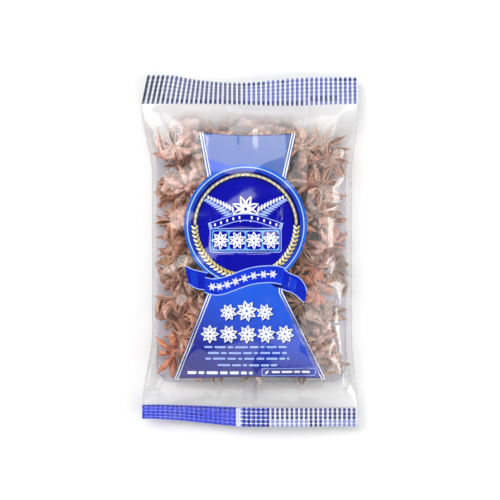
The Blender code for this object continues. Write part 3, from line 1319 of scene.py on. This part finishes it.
def edged_strip(art, ink, top, bottom, inwards, outwards):
    """A strip between two lines, with a pale edge along both."""
    art.add(ink, np.concatenate([top, bottom[::-1]]))
    art.add("pale", band(top, -inwards, outwards))
    art.add("pale", band(bottom, -outwards, inwards))


def ribbon(art):
    """A waving banner across the medallion's foot, its two tails turned behind it."""
    for tops, bottoms in ((TAIL_LEFT_TOP, TAIL_LEFT_BOTTOM), (TAIL_RIGHT_TOP, TAIL_RIGHT_BOTTOM)):
        tail = curve_through(tops, 5), curve_through(bottoms, 5)
        edged_strip(art, "ribbon_tail", *tail, 0.2, 0.35)
    art.add("ribbon_light", [(-34.2, -11.5), (-30.0, -12.6), (-29.4, -21.3), (-33.6, -19.6)])
    art.add("ribbon_light", [(23.4, -14.6), (27.0, -17.0), (25.4, -23.4), (21.8, -21.6)])
    art.add("navy", [(-25.6, -15.2), (-24.1, -12.6), (-20.0, -14.0), (-21.2, -16.1)])
    art.add("navy", [(17.9, -19.0), (11.5, -18.6), (14.6, -20.6), (19.0, -21.6)])
    top, bottom = curve_through(RIBBON_TOP, 6), curve_through(RIBBON_BOTTOM, 6)
    edged_strip(art, "ribbon", top, bottom, 0.15, 0.4)
    middle = (top + bottom) / 2
    for k in range(15):
        at = 5 + k * 2.55
        i = int(at)
        step = middle[i + 1] - middle[i]
        x, y = middle[i] + (at - i) * step
        way = np.arctan2(step[1], step[0])
        if k % 2:
            art.add("white", circle(x, y, 0.62, 12))
        else:
            rosette(art, "white", "ribbon", x, y, 2.5, 6, way, 0.42)


def title(art):
    """Rows of plain stars, leaves and bars where a pack has its wording."""
    bold_rosette(art, -1.9, -34.3, 6.2, 0.2)
    for side in (-1, 1):
        bold_rosette(art, -1.9 + side * 10.4, -35.0, 5.0, 0.5)
    for k in range(5):
        bold_rosette(art, -1.5 + (k - 2) * 10.7, -47.5, 5.4, 0.35 * k)
    lengths = (4.6, 6.4, 3.2, 7.2, 5.0, 2.4, 5.8)
    for row, (y, half) in enumerate(((-54.9, 24.5), (-58.3, 22.5), (-61.6, 24.0), (-65.4, 17.0))):
        turned_lengths = lengths[row:] + lengths[:row]
        dashes(art, "pale", -1.5 - half, -1.5 + half, y, 1.15, turned_lengths, 1.1)
    dashes(art, "white", -36.0, 1.6, -69.9, 1.7, (5.2, 3.4, 6.6, 4.4), 1.2)
    art.add("pale", rounded_box(22.2, -69.4, 31.0, 4.6, 0.8, 3))
    art.add("field", rounded_box(22.2, -69.4, 30.2, 3.8, 0.6, 3))
    art.add("white", turned(leaf(3.0, 1.4, 4), 0.8, 8.6, -70.6))
    dashes(art, "white", 12.5, 36.0, -69.4, 1.2, (4.6, 6.2, 3.4), 1.0)


def label_artwork():
    art = Artwork()
    for draw in (label_field, medallion, emblem, ribbon, title):
        draw(art)
    return art


PANEL = (0.75, -6.2, 110.7, 140.9, 9.5)
PANEL_LINE = 0.55


def panel_artwork():
    """The pale back panel with its thin blue outline."""
    x, y, width, height, radius = PANEL
    art = Artwork()
    art.add("panel_line", rounded_box(x, y, width, height, radius, 9))
    inner = 2 * PANEL_LINE
    art.add("panel", rounded_box(x, y, width - inner, height - inner, radius - PANEL_LINE, 9))
    return art


# Sides of the seam in mm, and its cells across and along.
SEAM = (-3.7, 3.9)
SEAM_ACROSS, SEAM_ALONG = 8, 159


def back_seam(table):
    """The bag's overlapped seam, running down the middle of its back."""
    xs = np.linspace(*SEAM, SEAM_ACROSS + 1) * MM
    ys = np.linspace(SEAL_LOW + 1 * MM, SEAL_HIGH - 1 * MM, SEAM_ALONG + 1)
    x, y = np.meshgrid(xs, ys)
    z = on_film(table, x, y) + 2 * PRINT_DEPTH
    edges = np.tile([1] + [0] * (SEAM_ACROSS - 2) + [1], SEAM_ALONG)
    build = Build()
    build.add(np.stack([x, y, z], -1).reshape(-1, 3), grid_faces(*x.shape), edges)
    inks = [
        ink_material("seam_film", (238, 236, 244), opacity=0.5),
        ink_material("seam_edge", (206, 202, 222), opacity=0.75),
    ]
    return build.finish("back_seam", inks)


CHECK_COLUMNS = 45
ROW_PITCH = 2.37 * MM
# Steps of one column and of one row, and how many of a row's steps are inked. A column's first is.
COLUMN_STEPS = (0, 0.57)
ROW_STEPS = (0, 0.36, 0.72, 0.86)
INKED_ROW_STEPS = 2
# How far the print keeps from the bag's outline and from the ends of each seal, as shares.
CHECK_SPAN = 0.9985
CHECK_INSET = 0.004
CHECK_DEPTH = 0.07 * MM
BREAK_LEFT, BREAK_RIGHT = -9.4 * MM, -6 * MM
# Where the painted glare over the bottom seal's right side begins.
PAINTED_GLARE_START = 10 * MM


def top_ink(row, rows, on_column, on_row, x):
    """Slate columns on white turning violet to the right, with a row of heavy dots at their foot."""
    if not on_column:
        return "check_pale" if on_row else "check_ground"
    at = x / MM
    foot = row == 0 and -51 < at < 32 or row == 1 and 35 < at < 50
    head = row == rows - 1 and (-5 < at < 8 or 16 < at < 21 or at > 47)
    if on_row and (foot or head):
        return "check_navy"
    if foot:
        return "check_deep"
    tone = "slate_dark" if at < -51 else "slate" if at < -2 else "violet"
    return tone + ("_rung" if on_row else "")


def bottom_ink(row, rows, on_column, on_row, x):
    """Royal gingham at left; right of a white break a painted glare leaves navy dots on white."""
    if BREAK_LEFT < x < BREAK_RIGHT:
        return "check_pale"
    if x < PAINTED_GLARE_START:
        # Painted glare begins: right of the break the gingham is painted paler.
        pale = x > BREAK_RIGHT
        if on_column and on_row:
            strong = row == rows - 1 or row == rows // 2 and -53 * MM < x < -29 * MM
            return "check_navy" if pale else "gingham_navy" if strong else "gingham_dark"
        if on_column or on_row:
            return "gingham_light" if pale else "gingham_mid"
        return "check_ground" if pale else "gingham_light"
    # Painted glare: the check's blue ground and rows are painted white, leaving navy dots; the lowest
    # two rows are violet.
    if not on_column:
        return "check_pale" if on_row else "check_ground"
    if row < 2 and not 32 * MM < x < 42 * MM:
        return "violet" if on_row else "violet_pale"
    return "check_navy" if on_row else "dot_link"


def repeated(steps, count):
    """The steps of one pitch, repeated from 0 to 1."""
    return np.array([(k + step) / count for k in range(count) for step in steps] + [1.0])


def seal_checks(name, table, zone, length, inks, back):
    """A check of blue columns and rows on white over one face of an end seal."""
    rows = round(length / ROW_PITCH)
    shares = 2 * repeated(COLUMN_STEPS, CHECK_COLUMNS) - 1
    levels = zone + CHECK_INSET + (1 - 2 * CHECK_INSET) * repeated(ROW_STEPS, rows)
    share, v = np.meshgrid(shares * CHECK_SPAN, levels)
    x, y = plan(share, v)
    column = np.interp(share, U_SHARES, np.arange(ACROSS + 1))
    row = np.interp(v, V_LEVELS, np.arange(len(V_LEVELS)))
    z = bilinear(table, column, row) + (CHECK_DEPTH if back else -CHECK_DEPTH)
    names = list(inks)
    pick = top_ink if zone else bottom_ink
    slots = []
    for r, c in np.ndindex(len(levels) - 1, len(shares) - 1):
        at_row, step = divmod(r, len(ROW_STEPS))
        on_column = c % len(COLUMN_STEPS) == 0
        ink = pick(at_row, rows, on_column, step < INKED_ROW_STEPS, x[r, c])
        slots.append(names.index(ink))
    build = Build()
    build.add(np.stack([x, y, z], -1).reshape(-1, 3), grid_faces(*x.shape, flip=back), slots)
    return build.finish(name, list(inks.values()))


LABEL_OPACITY = 0.9
PANEL_OPACITY = 0.7
# The label's field changes tone along the bag at a slant: each place in mm and its colour.
# Painted reflection: the field's paler tones from 45 mm up stand in for the film's glossy veil, and
# the slant follows that veil's edge. Lower down the field grows darker towards the bottom.
PAINTED_SHEEN_SLANT = 0.35
FIELD_TONES_WITH_PAINTED_SHEEN = (
    (-87, (38, 40, 138)),
    (-62, (40, 52, 160)),
    (-46, (48, 84, 214)),
    (-24, (36, 100, 240)),
    (43.4, (22, 90, 232)),
    (45.2, (94, 122, 200)),
    (72, (112, 136, 198)),
)
LABEL_TONES = {
    "white": ((250, 251, 255), (240, 244, 255)),
    "navy": ((6, 8, 92), (14, 16, 112)),
    "rim": ((34, 92, 206), (60, 120, 226)),
    "ring": ((176, 206, 255), (196, 220, 255)),
    "rim_inner": ((22, 54, 176), (36, 84, 214)),
    "gold": ((206, 188, 108), (226, 210, 140)),
    "cream": ((240, 232, 190), (250, 246, 220)),
    "disc": ((4, 6, 162), (8, 12, 174)),
    "pale": ((158, 184, 255), (176, 200, 255)),
    "plate": ((96, 176, 246), (130, 196, 250)),
    "ribbon": ((12, 38, 196), (24, 70, 232)),
    "ribbon_tail": ((8, 26, 172), (14, 46, 208)),
    "ribbon_light": ((16, 52, 204), (26, 70, 224)),
}


# The field's colour, with a painted reflection over its top.
def field_color_with_painted_sheen(finish):
    slant = finish.node("VectorMath", links={0: finish.place()})
    slant.operation = "DOT_PRODUCT"
    slant.inputs[1].default_value = (PAINTED_SHEEN_SLANT, 1, 0)
    low, high = FIELD_TONES_WITH_PAINTED_SHEEN[0][0], FIELD_TONES_WITH_PAINTED_SHEEN[-1][0]
    along_field = finish.spread(slant.outputs["Value"], 0, 1, low * MM, high * MM)
    stops = [((at - low) / (high - low), linear(*tone)) for at, tone in FIELD_TONES_WITH_PAINTED_SHEEN]
    return finish.ramp(along_field, stops)


def label_inks():
    inks = {}
    for name, tones in LABEL_TONES.items():
        inks[name] = ink_material("ink_" + name, *tones, glossy=True)
    inks["field"] = ink_material(
        "ink_field_with_painted_sheen", opacity=LABEL_OPACITY, glossy=True, rough=0.42, color_of=field_color_with_painted_sheen
    )
    return inks


CHECK_TONES = {
    "check_ground": (252, 252, 255),
    "check_pale": (222, 227, 249),
    "check_navy": (2, 2, 88),
    "check_deep": (24, 26, 118),
    "dot_link": (150, 158, 220),
    "slate_dark": (66, 74, 96),
    "slate_dark_rung": (34, 38, 64),
    "slate": (128, 136, 172),
    "slate_rung": (74, 80, 122),
    "violet": (140, 150, 212),
    "violet_rung": (92, 100, 178),
    "violet_pale": (176, 180, 222),
    "gingham_light": (104, 124, 252),
    "gingham_mid": (60, 82, 236),
    "gingham_dark": (34, 48, 196),
    "gingham_navy": (14, 18, 140),
}


def check_inks():
    return {name: ink_material(name, tone) for name, tone in CHECK_TONES.items()}


def panel_inks():
    tones = (233, 233, 250), (240, 240, 252)
    return {
        "panel_line": ink_material("panel_line", (160, 170, 224), opacity=0.7),
        "panel": ink_material("panel", *tones, opacity=PANEL_OPACITY),
    }


# ---------------------------------------------------------------- stage


WORLD_STRENGTH = 0.07
FLOOR_REACH = 4.0
# Each lamp's place, width and height in metres, and power in watts. All point at the bag.
LAMPS = {
    "top_softbox": ((-0.1, 0.66, 0.92), 1.3, 0.9, 8),
    "left_softbox": ((-0.9, 0.5, 0.75), 0.9, 0.8, 8.6),
    "right_softbox": ((0.9, -0.2, 0.75), 0.7, 0.8, 3.2),
    "right_strip": ((0.95, -0.2, 0.56), 0.7, 0.24, 3),
    "bottom_softbox": ((0.05, -0.9, 0.8), 1.8, 1.2, 6),
}


def area_light(name, place, width, height, power):
    data = bpy.data.lights.new(name, "AREA")
    data.shape = "RECTANGLE"
    data.size = width
    data.size_y = height
    data.energy = power
    light = bpy.data.objects.new(name, data)
    light.location = place
    light.rotation_euler = (-Vector(place)).to_track_quat("-Z", "Y").to_euler()
    bpy.context.scene.collection.objects.link(light)


def floor_material():
    finish = Finish("white_floor")
    finish.shader.inputs["Base Color"].default_value = (0.97, 0.97, 0.97, 1)
    finish.shader.inputs["Roughness"].default_value = 0.9
    finish.shader.inputs["Specular IOR Level"].default_value = 0.0
    return finish.material


def make_stage():
    """White world and floor, the lamps, and a camera looking straight down."""
    scene = bpy.context.scene
    scene.view_settings.view_transform = "Standard"
    world = bpy.data.worlds.new("studio")
    world.use_nodes = True
    background = world.node_tree.nodes["Background"]
    background.inputs["Color"].default_value = (1, 1, 1, 1)
    background.inputs["Strength"].default_value = WORLD_STRENGTH
    scene.world = world
    mesh = bpy.data.meshes.new("floor")
    corners = [(x * FLOOR_REACH, y * FLOOR_REACH, 0) for x, y in ((-1, -1), (1, -1), (1, 1), (-1, 1))]
    mesh.from_pydata(corners, [], [(0, 1, 2, 3)])
    mesh.materials.append(floor_material())
    floor = bpy.data.objects.new("floor", mesh)
    scene.collection.objects.link(floor)
    for name, values in LAMPS.items():
        area_light(name, *values)
    camera_data = bpy.data.cameras.new("camera")
    camera_data.lens = 100
    camera_data.sensor_width = 36
    camera = bpy.data.objects.new("camera", camera_data)
    camera.location = (0, 0.5 * MM, 0.816)
    scene.collection.objects.link(camera)
    scene.camera = camera


# ---------------------------------------------------------------- the whole bag

# Dark, middle and light tone of each husk, in the order of RED to CORAL.
HUSK_TONES = {
    "husk_red": ((130, 88, 74), (202, 152, 132), (236, 198, 180)),
    "husk_brown": ((124, 98, 86), (190, 160, 146), (228, 204, 190)),
    "husk_orange": ((162, 100, 74), (228, 162, 130), (246, 202, 174)),
    "husk_pink": ((160, 106, 94), (230, 172, 156), (248, 212, 200)),
    "husk_coral": ((184, 98, 66), (230, 144, 108), (248, 192, 158)),
}
# Places of the inks that follow the husks.
FIRST_LINING, SEED_INK, STALK_INK = 5, 7, 8


def fruit_inks():
    husks = [husk_material(name, *tones) for name, tones in HUSK_TONES.items()]
    return husks + [
        lining_material("lining_tan", (198, 148, 122), (238, 198, 170)),
        lining_material("lining_gold", (204, 154, 116), (240, 202, 162)),
        seed_material(),
        husk_material("dry_stalk", (104, 80, 62), (150, 118, 94), (190, 158, 130)),
    ]


def scattered_piece(name, parts, inks, rng):
    """One mesh of many fruits or bits, each with its own husk tone and one of two linings."""
    build = Build()
    for points, faces, marks, tone in parts:
        lining = FIRST_LINING + int(rng.integers(0, 2))
        table = {WALL: tone, LINING: lining, SEED: SEED_INK, STALK: STALK_INK}
        build.add(points, faces, [table[m] for m in marks])
    return build.finish(name, inks)


def printed_pieces(film_front, film_back):
    made = [
        label_artwork().sheet("printed_label", label_inks(), film_front, PRINT_DEPTH),
        panel_artwork().sheet("back_panel", panel_inks(), film_back, PRINT_DEPTH),
        back_seam(film_back),
    ]
    checks = check_inks()
    for zone, length, name in ((0, BOTTOM_FIN, "bottom"), (2, TOP_FIN, "top")):
        for side, table in (("front", film_front), ("back", film_back)):
            whole = f"{name}_seal_{side}"
            made.append(seal_checks(whole, table, zone, length, checks, side == "back"))
    return made


def main():
    rng = np.random.default_rng(SEED_OF_DRAWS)
    layers = {
        "fruits_front": front_fruits(rng),
        "fruits_second": second_fruits(rng),
        "fruits_middle": middle_fruits(rng),
        "fruits_back": back_fruits(rng),
        "loose_carpels": loose_carpels(rng),
    }
    inks = fruit_inks()
    pieces = [(scattered_piece(name, parts, inks, rng), "fruit") for name, parts in layers.items()]
    pieces.append((scattered_piece("crumbs", crumbs(rng), [inks[RED]], rng), "fruit"))
    pieces.append((scattered_piece("stalks", stalks(rng), [inks[STALK_INK]], rng), "fruit"))
    seeds = scattered_piece("loose_seeds", loose_seeds(rng), [seed_material()], rng)
    pieces.append((seeds, "seed"))
    film_front = drape_front([part for parts in layers.values() for part in parts])
    film_back = drape_back(layers["fruits_back"])
    films = [
        film_material("clear_film", *FRONT_HAZE_AND_SHEEN, SIDE_PAINTED_SHEEN),
        film_material("milky_back_film", *BACK_HAZE_AND_SHEEN),
        film_material("seal_film", *SEAL_HAZE),
    ]
    film = film_piece(film_front, film_back, films)
    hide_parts("bag")
    pieces.append((film, "film"))
    pieces += [(piece, "print") for piece in printed_pieces(film_front, film_back)]
    for piece, slot in pieces:
        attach(piece, BODY)
    make_stage()


main()
